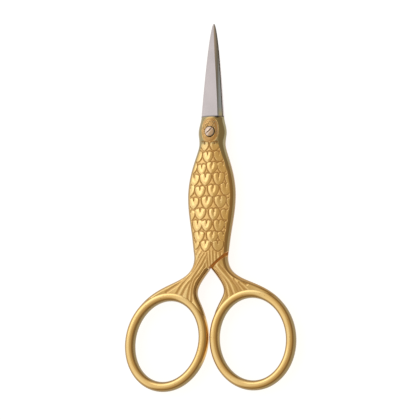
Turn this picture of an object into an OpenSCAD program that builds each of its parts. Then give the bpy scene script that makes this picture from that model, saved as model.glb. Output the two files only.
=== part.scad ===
// Embroidery scissors with a feather-scale body, fluted shanks and oval bows.
// Origin: on the pivot axis, in the plane that the scissors lie on.
// +Y runs to the tips, +X to the bow of the rear half, +Z to the screw head.
// The halves are alike: the rear one is the front one turned half round about the Y axis.

/* [Thickness] */
// Height of the boss, from the shear plane to the outside
half_t = 2.05; // [1.8:0.05:2.3]
// Height of the body's crown above the shear plane
crown_t = 1.98; // [1.7:0.02:2.04]
// Height of the body's edge, where its sloping side band begins
edge_t = 1.5; // [1.2:0.05:1.6]
// Height of the plain wall at the foot of the side band
foot_t = 0.3; // [0.2:0.05:0.6]
// Clearance of each half from the shear plane
lap_clear = 0.02; // [0.01:0.005:0.05]

/* [Blades] */
// Distance from the pivot to the tips
blade_l = 26.8; // [22:0.1:32]
// Distance from the pivot to the shoulder where a blade begins
shoulder_y = 3.7; // [3.5:0.1:4.5]
// Half width of the pair of blades at the shoulder
blade_w = 2.95; // [2.5:0.05:3.2]
// Height of a blade's ridge above the shear plane, at the shoulder
ridge_t = 1.45; // [1:0.05:1.6]
// Share of the half width at which the ridge runs, at the shoulder
ridge_share = 0.6; // [0.4:0.05:0.7]
// Share of the half width at which the spine ends
spine_share = 0.86; // [0.8:0.02:0.95]
// Power of the taper to the tip: 1 is straight, lower is fuller
taper = 0.6; // [0.4:0.05:0.9]
// Thickness of a cutting edge
edge_land = 0.06; // [0.04:0.01:0.15]

/* [Body] */
// Half width over the pivot boss
boss_w = 3.65; // [3.4:0.05:4.2]
// Half width at the neck, just behind the pivot
neck_w = 3.3; // [3:0.05:3.8]
// Half width at the widest place
chest_w = 6.12; // [5:0.05:7.5]
// Half width at the tail, where the shanks leave
tail_w = 4.6; // [4:0.05:5]
// Distance from the pivot to the neck
neck_y = 2.9; // [2.6:0.1:3.4]
// Distance from the pivot to the widest place
chest_y = 15.8; // [13:0.1:19]
// Distance from the pivot to the tail
tail_y = 30; // [28:0.1:31]
// Width of the sloping band along each side
band_w = 1.1; // [0.7:0.05:1.4]

/* [Stops] */
// Distance from the pivot to the point where the two stop faces meet
crotch_y = 33.95; // [33.6:0.05:34.4]
// Angle of the stop faces to the line of the blades
stop_angle = 45; // [38:1:50]
// Gap between the stop faces while the scissors are closed
stop_gap = 0.5; // [0.2:0.02:0.8]

/* [Shanks] */
// How far a shank's crown lies below the bow's crest where they meet
shank_drop = 0.15; // [0.05:0.05:0.4]
// Angle on its bow where the outer side of a shank ends, from the bow's top
outer_end = 68; // [48:1:72]
// Length of the outer side's run behind the body before it bends away
outer_lead = 8.6; // [3:0.1:9]
// How far the outer side spreads along that run
outer_spread = -1.5; // [-1.6:0.1:0.6]
// Length of the outer side's run along its bow
outer_reach = 11.5; // [5:0.1:14]
// Angle on its bow where the inner side of a shank ends, from the bow's top
inner_end = 60; // [46:1:68]
// Length of the inner side's run behind the crotch before it bends back
inner_lead = 7.4; // [3:0.1:9]
// How far the inner side spreads along that run
inner_spread = 6.6; // [3:0.1:8]
// Length of the inner side's run along its bow
inner_reach = 9.1; // [3:0.1:12]
// Depth of the shank's sides below the bow's outer edge, where they run out
fan_bite = 0.05; // [0.05:0.05:0.5]

/* [Bows] */
// Width of a bow's rim
rim_w = 2.5; // [2:0.1:3]
// Height of a rim's crest above the shear plane
rim_t = 1.3; // [1.1:0.05:1.9]
// Squareness of the rim's section: 2 is an ellipse, more is fuller
rim_power = 2.3; // [2:0.1:3]
// Length of the front bow's centre line across, along its lean
bow_l = 22.4; // [20:0.1:25]
// Width of the front bow's centre line across
bow_w = 19.1; // [17:0.1:20]
// Lean of the front bow's top towards the middle
bow_lean = 14; // [5:0.2:20]
// Distance from the pivot back to the bows' centres
bow_y = 51.1; // [50:0.1:56]
// How much longer the rear bow is than the front one
rear_longer = 0.4; // [0:0.1:1]
// How much wider the rear bow is
rear_wider = 0.8; // [0:0.1:1]
// How much less the rear bow leans
rear_upright = 2.4; // [0:0.2:4]
// Gap between the two bows
bow_gap = 0.36; // [0.2:0.02:1.2]
// Distance of that gap's middle from the middle of the scissors, to the left
gap_offset = 0.28; // [0:0.02:0.6]

/* [Pivot screw] */
// Diameter of the screw's shank
screw_d = 1.6; // [1.2:0.05:2]
// Running clearance of the front half's bore round the shank, on the radius
run_clear = 0.03; // [0.01:0.01:0.08]
// Clearance of the rear half's thread round the shank, on the radius
thread_clear = 0.01; // [0.01:0.01:0.03]
// Diameter of the screw's head
head_d = 2.4; // [2.2:0.05:2.8]
// Thickness of the head's straight rim
head_rim = 0.75; // [0.5:0.05:0.9]
// Rise of the head's domed top
head_dome = 0.4; // [0.2:0.05:0.5]
// Depth of the head's seat in the boss
seat_depth = 0.55; // [0.3:0.05:0.8]
// Clearance round the head in its seat, on the radius
seat_clear = 0.08; // [0.05:0.01:0.15]
// Width of the driver slot
slot_w = 0.4; // [0.3:0.05:0.5]
// Depth of the driver slot
slot_depth = 0.45; // [0.3:0.05:0.6]
// Direction of the driver slot, from the X axis
slot_turn = 42; // [0:1:180]
// Diameter of the round flat on the outside of each boss
boss_flat_d = 4.5; // [3.6:0.1:5]

/* [Hidden] */

gold = "gold";
steel = "lightsteelblue";

// Rows along the blade, the shank and the body's four stretches
blade_rows = 22;
shank_rows = 12;
body_steps = [5, 4, 11, 11];
rim_rows = 64;
rim_cols = 16;
// Larger than any part, for the blocks that cut along the stop faces
block = 80;
// Overlap that joins solids of one piece
overlap = 0.4;

// Share of the blade's length at which its point is blunted
tip_share = 0.994;
// How fast the ridge runs in to the middle of the blade
ridge_drift = 0.7;
// Power by which the ridge thins with the blade's width
ridge_power = 0.7;
// Power by which the rows crowd towards the point
tip_crowding = 1.5;
// Height of the spine's plain wall beside the shear plane
spine_wall = 0.25;

// Shares along each of the body's curves that keep to its first and its last width
shoulder_ease = [0.26, 0.64];
boss_ease = [0.33, 0.67];
neck_ease = [0.16, 0.51];
chest_ease = [0.37, 0.66];

// The side band bulges: here, as shares of its width and of its height
band_bulge = [0.3, 0.65];
// The crown is this share of its height up, this near to the band on the way to the middle
crown_knee = [0.25, 0.75];
// The band is wider round the boss, and falls back to its own width over this length
boss_band = 0.6;
boss_band_y = 3;
// The boss's edge is nearly level with its crown, over this length
boss_level = 0.05;
boss_level_y = 3.2;
// A shank's band, as a share of the body's
shank_band = 0.75;
// Step from the body's crown down to the top of the shank inside it
shank_step = 0.03;
// Least fall from a shank's crown to its edge
shank_fall = 0.1;
// Power by which the shank's rows bend late, towards the bow
fan_power = 4;
// How far the shank's sides begin inside the body
outer_start = [0.2, 1];
inner_start = [0.8, 1.6];
// A rim is a little too high before its crest is cut flat
crest_rise = 1.03;

// Distance behind the pivot where the boss is widest
boss_y = 0.2;

rear_bow_l = bow_l + rear_longer;
rear_bow_w = bow_w + rear_wider;
rear_bow_lean = bow_lean - rear_upright;

// How far a bow reaches to the side from its centre
function bow_reach(l, w, lean) = norm([w * cos(lean), l * sin(lean)]) / 2 + rim_w / 2;

front_bow_x = bow_reach(bow_l, bow_w, bow_lean) + bow_gap / 2 + gap_offset;
rear_bow_x = bow_reach(rear_bow_l, rear_bow_w, rear_bow_lean) + bow_gap / 2 - gap_offset;

front_bow = [-front_bow_x, bow_l / 2, bow_w / 2, bow_lean];
rear_bow = [-rear_bow_x, rear_bow_l / 2, rear_bow_w / 2, rear_bow_lean];
fan_r = rim_w / 2 - fan_bite;

head_r = head_d / 2;
screw_r = screw_d / 2;
seat_z = half_t - seat_depth;

function bezier(p, t) =
    pow(1 - t, 3) * p[0] + 3 * t * pow(1 - t, 2) * p[1]
    + 3 * t * t * (1 - t) * p[2] + pow(t, 3) * p[3];

function mix(a, b, t) = a * (1 - t) + b * t;

// A curve between two places on the side, [half width, y], along +Y at both ends.
// It keeps to the first width for one share of its length, and takes the last one at another.
function ease(a, b, shares) =
    [a, [a[0], mix(a[1], b[1], shares[0])], [b[0], mix(a[1], b[1], shares[1])], b];

boss_side = [boss_w, -boss_y];
neck_side = [neck_w, -neck_y];
chest_side = [chest_w, -chest_y];
tail_side = [tail_w, -tail_y];

body_curves = [
    ease([blade_w, shoulder_y], boss_side, shoulder_ease),
    ease(boss_side, neck_side, boss_ease),
    ease(neck_side, chest_side, neck_ease),
    ease(chest_side, tail_side, chest_ease)
];

// The body's side from the shoulder to just past the crotch
body_sides = [
    each [for (c = [0:len(body_curves) - 1], i = [0:body_steps[c] - 1])
        bezier(body_curves[c], i / body_steps[c])],
    tail_side,
    [tail_w, -crotch_y - 2 * overlap]
];

// Heights across a crowned section, and their places as shares of its width
function crown_z(edge, crown) = [
    foot_t, mix(foot_t, edge, band_bulge[1]), edge,
    mix(edge, crown, crown_knee[1]), crown, mix(edge, crown, crown_knee[1]),
    edge, mix(foot_t, edge, band_bulge[1]), foot_t];

function crown_s(width, band) = let (b = band / width)
    [0, b * band_bulge[0], b, mix(b, 1 - b, crown_knee[0]), 0.5, mix(1 - b, b, crown_knee[0]),
     1 - b, 1 - b * band_bulge[0], 1];

function band_at(y) = band_w + boss_band * exp(-pow(y / boss_band_y, 2));

function edge_at(y) =
    mix(edge_t, crown_t - boss_level, exp(-pow(y / boss_level_y, 4)));

function body_row(p) = let (
        s = crown_s(2 * p[0], band_at(p[1])),
        z = crown_z(edge_at(p[1]), crown_t))
    [for (k = [0:len(s) - 1]) [mix(-p[0], p[0], s[k]), p[1], z[k]]];

// A bow is [centre x, half its length, half its width, lean], all of its centre line.
// A point on that line, or outward of it, at an angle from the bow's top.
function bow_point(bow, angle, out = 0) = let (
        up = [sin(bow[3]), cos(bow[3])],
        side = [cos(bow[3]), -sin(bow[3])],
        normal = bow[2] * cos(angle) * up + bow[1] * sin(angle) * side)
    [bow[0], -bow_y] + bow[1] * cos(angle) * up + bow[2] * sin(angle) * side
    + out * normal / norm(normal);

// The way that the centre line runs there, clockwise from above
function bow_direction(bow, angle) = let (
        up = [sin(bow[3]), cos(bow[3])],
        side = [cos(bow[3]), -sin(bow[3])],
        run = bow[2] * cos(angle) * side - bow[1] * sin(angle) * up)
    run / norm(run);

// The shank's two sides, from inside the body to the bow
function shank_outer(bow) = let (end = bow_point(bow, -outer_end, fan_r)) [
    [outer_start[0] - tail_w, outer_start[1] - tail_y],
    [-tail_w - outer_spread, -tail_y - outer_lead],
    end + outer_reach * bow_direction(bow, -outer_end), end];

function shank_inner(bow) = let (end = bow_point(bow, inner_end, fan_r)) [
    [inner_start[0], inner_start[1] - crotch_y],
    [-inner_spread, -crotch_y - inner_lead],
    end - inner_reach * bow_direction(bow, inner_end), end];

// A row across the shank. Rows turn and bend until the last one lies along the bow.
function shank_row(bow, t) = let (
        a = bezier(shank_outer(bow), t),
        b = bezier(shank_inner(bow), t),
        s = crown_s(norm(b - a), band_w * shank_band),
        top = mix(crown_t - shank_step, rim_t - shank_drop, t),
        z = crown_z(min(edge_t, top - shank_fall), top),
        c0 = bow_point(bow, -outer_end, fan_r),
        c1 = bow_point(bow, inner_end, fan_r))
    [for (k = [0:len(s) - 1]) let (
            out = fan_r * (1 - 4 * s[k] * (1 - s[k])),
            bend = bow_point(bow, mix(-outer_end, inner_end, s[k]), out) - mix(c0, c1, s[k]),
            p = mix(a, b, s[k]) + pow(t, fan_power) * bend)
        [p[0], p[1], z[k]]];

function blade_half_w(t) = blade_w * pow(1 - t, taper);

function blade_row(t) = let (
        w = blade_half_w(t),
        y = mix(shoulder_y, blade_l, t),
        ridge_x = w * ridge_share * (1 - ridge_drift * t * t),
        ridge_z = ridge_t * pow(w / blade_w, ridge_power))
    [[-w, y, lap_clear + edge_land], [ridge_x, y, ridge_z],
     [w * spine_share, y, lap_clear + min(spine_wall, ridge_z / 2)]];

function flattened(rows, z) = [for (row = rows) [for (p = row) [p[0], p[1], z]]];

function mirrored(rows) = [for (row = rows) [for (p = row) [p[0], p[1], -p[2]]]];

function split_quad(a, b, c, d) = [[a, b, c], [a, c, d]];

// A closed solid between two grids of points with the same plan, top above bottom.
// Rows run towards -Y and columns towards +X.
module slab(top, bottom) {
    rows = len(top);
    cols = len(top[0]);
    n = rows * cols;
    last = rows - 1;
    end = cols - 1;
    polyhedron(
        points = [for (row = top) each row, for (row = bottom) each row],
        faces = [
            for (i = [0:last - 1], j = [0:end - 1]) let (a = i * cols + j)
                each split_quad(a, a + 1, a + cols + 1, a + cols),
            for (i = [0:last - 1], j = [0:end - 1]) let (a = n + i * cols + j)
                each split_quad(a, a + cols, a + cols + 1, a + 1),
            for (i = [0:last - 1]) let (a = i * cols)
                each split_quad(a, a + cols, n + a + cols, n + a),
            for (i = [0:last - 1]) let (a = i * cols + end)
                each split_quad(a + cols, a, n + a, n + a + cols),
            for (j = [0:end - 1])
                each split_quad(j + 1, j, n + j, n + j + 1),
            for (j = [0:end - 1]) let (a = last * cols + j)
                each split_quad(a, a + 1, n + a + 1, n + a)
        ],
        convexity = 6);
}

// Closed ring of section points swept along the bow's centre line
module bow_rim(bow) {
    pinch = 2 / rim_power;
    full_t = rim_t * crest_rise;
    points = [for (i = [0:rim_rows - 1], j = [0:rim_cols - 1]) let (
            a = 360 * i / rim_rows,
            b = 360 * j / rim_cols,
            out = rim_w / 2 * sign(cos(b)) * pow(abs(cos(b)), pinch),
            z = full_t * sign(sin(b)) * pow(abs(sin(b)), pinch),
            p = bow_point(bow, a, out))
        [p[0], p[1], max(-rim_t, min(rim_t, z))]];
    polyhedron(
        points = points,
        faces = [for (i = [0:rim_rows - 1], j = [0:rim_cols - 1]) let (
                i2 = (i + 1) % rim_rows,
                j2 = (j + 1) % rim_cols)
            each split_quad(i * rim_cols + j, i2 * rim_cols + j,
                            i2 * rim_cols + j2, i * rim_cols + j2)],
        convexity = 6);
}

// The room past the right stop face, seen from the body
module past_right_stop() {
    translate([0, -crotch_y, 0])
        rotate([0, 0, 90 - stop_angle])
            translate([0, -block, 0])
                cube([block, block, 2 * half_t]);
}

// The room past the left stop face, from a distance beyond it
module past_left_stop(beyond) {
    translate([0, -crotch_y, 0])
        rotate([0, 0, stop_angle - 90])
            translate([-block / 2, -block - beyond, 0])
                cube([block, block, 2 * half_t]);
}

// The other half's body and the gap before the left stop face, below the shear plane
module before_left_stop() {
    translate([0, -crotch_y, lap_clear - 2 * half_t])
        rotate([0, 0, stop_angle - 90])
            translate([-block / 2, -stop_gap, 0])
                cube([block, block, 2 * half_t]);
}

module body() {
    rows = [for (p = body_sides) body_row(p)];
    difference() {
        slab(rows, flattened(rows, lap_clear));
        past_left_stop(overlap);
    }
}

module shank(bow) {
    rows = [for (i = [0:shank_rows]) shank_row(bow, i / shank_rows)];
    slab(rows, mirrored(rows));
}

// One half's handle in its own frame: the shear plane is z = 0 and the outside is up
module half_handle(bow) {
    difference() {
        union() {
            body();
            shank(bow);
            bow_rim(bow);
            translate([0, 0, lap_clear])
                cylinder(d = boss_flat_d, h = half_t - lap_clear, $fn = 64);
        }
        past_right_stop();
        before_left_stop();
    }
}

module half_blade() {
    rows = [for (i = [blade_rows:-1:0]) blade_row(tip_share * (1 - pow(1 - i / blade_rows, tip_crowding)))];
    slab(rows, flattened(rows, lap_clear));
}

module turned_half_round() {
    rotate([0, 180, 0]) children();
}

module front_blade() {
    color(steel) translate([0, 0, half_t]) half_blade();
}

module front_handle() {
    color(gold) translate([0, 0, half_t])
        difference() {
            half_handle(front_bow);
            translate([0, 0, -half_t])
                cylinder(r = screw_r + run_clear, h = 3 * half_t, $fn = 48);
            translate([0, 0, seat_z])
                cylinder(r = head_r + seat_clear, h = half_t, $fn = 48);
        }
}

module rear_blade() {
    color(steel) translate([0, 0, half_t]) turned_half_round() half_blade();
}

module rear_handle() {
    color(gold) translate([0, 0, half_t]) turned_half_round()
        difference() {
            half_handle(rear_bow);
            translate([0, 0, -half_t])
                cylinder(r = screw_r + thread_clear, h = 3 * half_t, $fn = 48);
        }
}

module pivot_screw() {
    under_head = half_t + seat_z + run_clear;
    rim_top = under_head + head_rim;
    top = rim_top + head_dome;
    dome_r = (pow(head_r, 2) + pow(head_dome, 2)) / (2 * head_dome);
    color("silver") difference() {
        union() {
            cylinder(r = screw_r, h = under_head + head_rim / 2, $fn = 48);
            translate([0, 0, under_head])
                cylinder(r = head_r, h = head_rim, $fn = 64);
            intersection() {
                translate([0, 0, rim_top - overlap])
                    cylinder(r = head_r, h = head_dome + overlap, $fn = 64);
                translate([0, 0, top - dome_r])
                    sphere(r = dome_r, $fn = 96);
            }
        }
        translate([0, 0, top - slot_depth])
            rotate([0, 0, slot_turn])
                translate([-head_d, -slot_w / 2, 0])
                    cube([2 * head_d, slot_w, 2 * slot_depth]);
    }
}

front_blade();
front_handle();
rear_blade();
rear_handle();
pivot_screw();
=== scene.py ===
import math

import bmesh
import bpy
import numpy as np
from mathutils import Matrix, Vector


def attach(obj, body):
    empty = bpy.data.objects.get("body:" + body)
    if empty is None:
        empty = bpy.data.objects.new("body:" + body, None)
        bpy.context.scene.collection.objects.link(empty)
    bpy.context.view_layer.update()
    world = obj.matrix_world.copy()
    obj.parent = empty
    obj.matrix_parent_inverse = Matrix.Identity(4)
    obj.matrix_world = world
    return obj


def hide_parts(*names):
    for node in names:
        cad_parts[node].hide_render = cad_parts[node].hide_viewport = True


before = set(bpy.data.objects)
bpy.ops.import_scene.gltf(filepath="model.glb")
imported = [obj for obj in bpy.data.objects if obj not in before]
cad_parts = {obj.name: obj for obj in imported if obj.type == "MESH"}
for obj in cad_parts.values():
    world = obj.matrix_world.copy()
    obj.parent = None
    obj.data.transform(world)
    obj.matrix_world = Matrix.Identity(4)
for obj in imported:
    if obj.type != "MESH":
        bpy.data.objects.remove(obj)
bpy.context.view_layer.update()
print("frame loaded")

mm = 0.001

# Sizes of one half, in its own frame: the shear plane is z = 0, its outside is up, its bow is at -X
half = {
    "thick": 2.05, "crown": 1.98, "edge": 1.5, "foot": 0.3, "lap": 0.02,
    "bladeWidth": 2.95, "shoulder": 3.7, "bossWidth": 3.65, "neckWidth": 3.3,
    "chestWidth": 6.12, "tailWidth": 4.6, "bossY": 0.2, "neckY": 2.9, "chestY": 15.8, "tailY": 30.0,
    "crotch": 33.3, "noseDrop": 0.32, "stopRise": 0.84, "stopGap": 0.56, "stopShade": 0.3,
    "band": 1.1, "bossBand": 0.6, "shankBand": 0.82, "bandPower": 1.8, "bandRound": 0.65, "bossReach": (3.0, 3.2),
    "faceLeft": (-0.4, -0.15), "faceRight": (-0.25, -0.05), "fanEnd": (0.93, 1.0), "edgeDrop": (0.05, 0.1),
    # the left side eases from the body onto the shank, and passes the stop's corner and the crotch
    "easeFrom": 27.0, "easeTill": 31.5, "byCorner": (-4.2, -30.9), "byCrotch": (-4.5, -33.2),
    "noseX": -0.12, "noseGap": 0.75, "sideTill": 34.5, "innerFrom": 34.1, "pathEnd": 60.0,
    # depth and width of each small bevel
    "frontBevel": (0.16, 0.3), "stopBevel": (0.07, 0.12), "underBevel": (0.1, 0.16), "underDrop": 0.03,
    "outerEnd": 68.0, "outerLead": 8.6, "outerSpread": -1.5, "outerReach": 11.5,
    "innerEnd": 60.0, "innerStart": (0.8, -32.35), "innerLead": 7.85, "innerSpread": 6.6, "innerReach": 9.1,
    "fanOut": 1.2, "fanIn": 0.35, "fanPower": 2.4, "fallPower": 1.2,
    "rimWidth": 2.5, "rimThick": 1.3, "shankDrop": 0.15, "crest": 1.03, "fullness": 2.3, "bowY": 51.1,
}
frontBow = {"x": -11.364, "long": 11.2, "wide": 9.55, "lean": math.radians(14.0)}
rearBow = {"x": -11.163, "long": 11.4, "wide": 9.95, "lean": math.radians(11.6)}


def mix(a, b, t):
    return a * (1 - t) + b * t


def smooth(low, high, value):
    t = np.clip((value - low) / (high - low), 0, 1)
    return t * t * (3 - 2 * t)


def bezier(ends, t):
    p, t = np.asarray(ends, float), np.asarray(t, float)[..., None]
    return (1 - t) ** 3 * p[0] + 3 * t * (1 - t) ** 2 * p[1] + 3 * t * t * (1 - t) * p[2] + t ** 3 * p[3]


def easeCurve(a, b, leave, arrive):
    return [a, (a[0], mix(a[1], b[1], leave)), (b[0], mix(a[1], b[1], arrive)), b]


def bodySide():
    h = half
    places = [(h["bladeWidth"], h["shoulder"]), (h["bossWidth"], -h["bossY"]), (h["neckWidth"], -h["neckY"]),
              (h["chestWidth"], -h["chestY"]), (h["tailWidth"], -h["tailY"])]
    shares = [(0.26, 0.64), (0.33, 0.67), (0.16, 0.51), (0.37, 0.66)]
    t = np.linspace(0, 1, 60)
    parts = [bezier(easeCurve(a, b, *s), t) for a, b, s in zip(places, places[1:], shares)]
    return np.vstack(parts + [[[h["tailWidth"], -h["pathEnd"]]]])


sidePath = bodySide()


def bodyWidth(y):
    return np.interp(-np.asarray(y, float), -sidePath[:, 1], sidePath[:, 0])


def bowPoint(bow, angle, out=0.0):
    angle = np.radians(angle)
    c, s = np.cos(angle)[..., None], np.sin(angle)[..., None]
    up = np.array([math.sin(bow["lean"]), math.cos(bow["lean"])])
    side = np.array([math.cos(bow["lean"]), -math.sin(bow["lean"])])
    normal = bow["wide"] * c * up + bow["long"] * s * side
    normal /= np.linalg.norm(normal, axis=-1, keepdims=True)
    centre = np.array([bow["x"], -half["bowY"]])
    return centre + bow["long"] * c * up + bow["wide"] * s * side + np.asarray(out)[..., None] * normal


def bowRun(bow, angle):
    a = bowPoint(bow, np.array(angle - 0.5))
    b = bowPoint(bow, np.array(angle + 0.5))
    return (b - a) / np.linalg.norm(b - a)


def shankSides(bow):
    h = half
    outEnd = bowPoint(bow, np.array(-h["outerEnd"]), h["fanOut"])
    inEnd = bowPoint(bow, np.array(h["innerEnd"]), h["fanOut"])
    # the outer side starts a little inside the body
    outer = [(0.2 - h["tailWidth"], 1 - h["tailY"]), (-h["tailWidth"] - h["outerSpread"], -h["tailY"] - h["outerLead"]),
             outEnd + h["outerReach"] * bowRun(bow, -h["outerEnd"]), outEnd]
    inner = [h["innerStart"], (-h["innerSpread"], -h["crotch"] - h["innerLead"]),
             inEnd - h["innerReach"] * bowRun(bow, h["innerEnd"]), inEnd]
    t = np.linspace(0, 1, 160)
    return bezier(outer, t), bezier(inner, t)


def pathLengths(path):
    return np.r_[0, np.cumsum(np.linalg.norm(np.diff(path, axis=0), axis=1))]


def alongPath(path, lengths):
    at = pathLengths(path)
    return np.stack([np.interp(lengths, at, path[:, 0]), np.interp(lengths, at, path[:, 1])], -1)


def lengthNear(path, place):
    return pathLengths(path)[np.argmin(np.linalg.norm(path - np.asarray(place), axis=1))]


def distanceTo(path, points):
    flat = points.reshape(-1, 2)
    best = np.full(len(flat), 1e9)
    for a, b in zip(path[:-1], path[1:]):
        run = b - a
        t = np.clip(((flat - a) @ run) / max(run @ run, 1e-12), 0, 1)
        best = np.minimum(best, np.linalg.norm(flat - a - t[:, None] * run, axis=1))
    return best.reshape(points.shape[:-1])


def thinned(path, step=0.3):
    count = max(2, int(pathLengths(path)[-1] / step))
    return alongPath(path, np.linspace(0, pathLengths(path)[-1], count))


def outlines(bow):
    h = half
    outer, inner = shankSides(bow)
    # the left side keeps to the body, then eases onto the shank
    y = np.linspace(h["shoulder"], -h["easeTill"], 330)
    shankX = np.interp(-y, -outer[:, 1], outer[:, 0])
    w = smooth(h["easeFrom"], h["easeTill"], -y)
    left = np.stack([mix(-bodyWidth(y), shankX, w), y], 1)
    left = np.vstack([left, outer[outer[:, 1] < -h["easeTill"] - 0.1]])
    # the right side turns down the stop face to the crotch, and on along the shank
    y = np.linspace(h["shoulder"], -h["tailY"], 330)
    corner = y[np.argmax((y + h["crotch"]) / h["stopRise"] < bodyWidth(y))]
    y = np.linspace(h["shoulder"], corner, 330)
    right = np.stack([bodyWidth(y), y], 1)
    corner = np.array([(corner + h["crotch"]) / h["stopRise"], corner])
    stop = np.linspace(corner, (0.0, -h["crotch"]), 60)
    nose = np.array([[h["noseX"], -h["crotch"] - h["noseDrop"]]])
    right = np.vstack([right, stop[1:], nose, inner[inner[:, 1] < -h["crotch"] - h["noseGap"]]])
    return left, right, corner, inner


def gridShell(xy, z, underZ, stride):
    rows, cols = z.shape
    top = np.dstack([xy, z]).reshape(-1, 3)
    low = xy[:, ::stride]
    lowCols = low.shape[1]
    under = np.dstack([low, np.full((rows, lowCols), underZ)]).reshape(-1, 3)
    n, count = rows * cols, rows * lowCols

    def cells(start, width):
        i, j = np.meshgrid(np.arange(rows - 1), np.arange(width - 1), indexing="ij")
        a = (start + i * width + j).ravel()
        return np.stack([a, a + width, a + width + 1, a + 1], 1)

    faces = cells(0, cols).tolist() + cells(n, lowCols)[:, ::-1].tolist()
    for i in range(rows - 1):
        ul, ur = n + i * lowCols, n + (i + 1) * lowCols - 1
        faces.append([i * cols, ul, ul + lowCols, (i + 1) * cols])
        faces.append([(i + 1) * cols - 1, (i + 2) * cols - 1, ur + lowCols, ur])
    for k in range(lowCols - 1):
        first, last = k * stride, (k + 1) * stride + 1
        faces.append([n + k] + list(range(first, last)) + [n + k + 1])
        tail = (rows - 1) * cols
        faces.append([n + count - lowCols + k + 1] + list(range(tail + last - 1, tail + first - 1, -1))
                     + [n + count - lowCols + k])
    return np.vstack([top, under]), faces


def newObject(name, data):
    added = bpy.data.objects.new(name, data)
    bpy.context.scene.collection.objects.link(added)
    return added


def addPiece(name, points, faces, edges=()):
    mesh = bpy.data.meshes.new(name)
    mesh.from_pydata((np.asarray(points) * mm).tolist(), list(edges), faces)
    mesh.update()
    return newObject(name, mesh)


def markPoints(piece, name, given):
    layer = piece.data.attributes.new(name, "FLOAT", "POINT")
    values = np.zeros(len(piece.data.vertices), np.float32)
    values[:np.size(given)] = np.ravel(given)
    layer.data.foreach_set("value", values)


def bandProfile(share):
    share, power = np.clip(share, 0, 1), half["bandPower"]
    return mix(share, (1 - (1 - share) ** power) ** (1 / power), half["bandRound"])


def crownHeights(dLeft, dRight, band, edge, crown):
    h = half
    across = np.clip((dLeft - band) / np.maximum(dLeft + dRight - 2 * band, 1e-3), 0, 1)
    face = edge + (crown - edge) * (1 - (2 * across - 1) ** 2)
    side = h["foot"] + (edge - h["foot"]) * bandProfile(np.minimum(dLeft, dRight) / band)
    return np.where(np.minimum(dLeft, dRight) < band, side, face)


def columnShares(count, gather=0.35):
    u = np.linspace(0, 1, count)
    return mix(u, (1 - np.cos(np.pi * u)) / 2, gather)


def rowsBetween(left, right, keys, counts):
    leftAt, rightAt = [], []
    for (a, b), (c, d), count in zip(keys, keys[1:], counts):
        t = np.arange(count) / count
        leftAt.extend(mix(a, c, t))
        rightAt.extend(mix(b, d, t))
    leftAt.append(keys[-1][0])
    rightAt.append(keys[-1][1])
    # rounds the corners where the row spacing changes
    kernel = np.hanning(15)
    kernel /= kernel.sum()
    pad = len(kernel) // 2
    ease = [np.convolve(np.pad(v, pad, mode="reflect", reflect_type="odd"), kernel, "valid")
            for v in (np.array(leftAt), np.array(rightAt))]
    return alongPath(left, ease[0]), alongPath(right, ease[1])


def fanBend(bow, a, b, shares, turn):
    h = half
    angle = mix(-h["outerEnd"], h["innerEnd"], shares)
    out = mix(h["fanIn"], h["fanOut"], np.abs(2 * shares - 1) ** 3)
    onBow = bowPoint(bow, angle, out)
    chord = mix(a[-1], b[-1], shares[:, None])
    straight = a[:, None] * (1 - shares[None, :, None]) + b[:, None] * shares[None, :, None]
    return straight + (turn ** h["fanPower"])[:, None, None] * (onBow - chord)[None]


# painted shade along both edges of the under face, where the halves meet
def creviceShade(lapPlaces):
    shares = np.zeros(lapPlaces.shape[:2])
    shares[:, [0, -1]] = 1
    return shares


def bevel(size, distance):
    depth, width = size
    return depth * (1 - smooth(0, width, distance))


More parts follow.
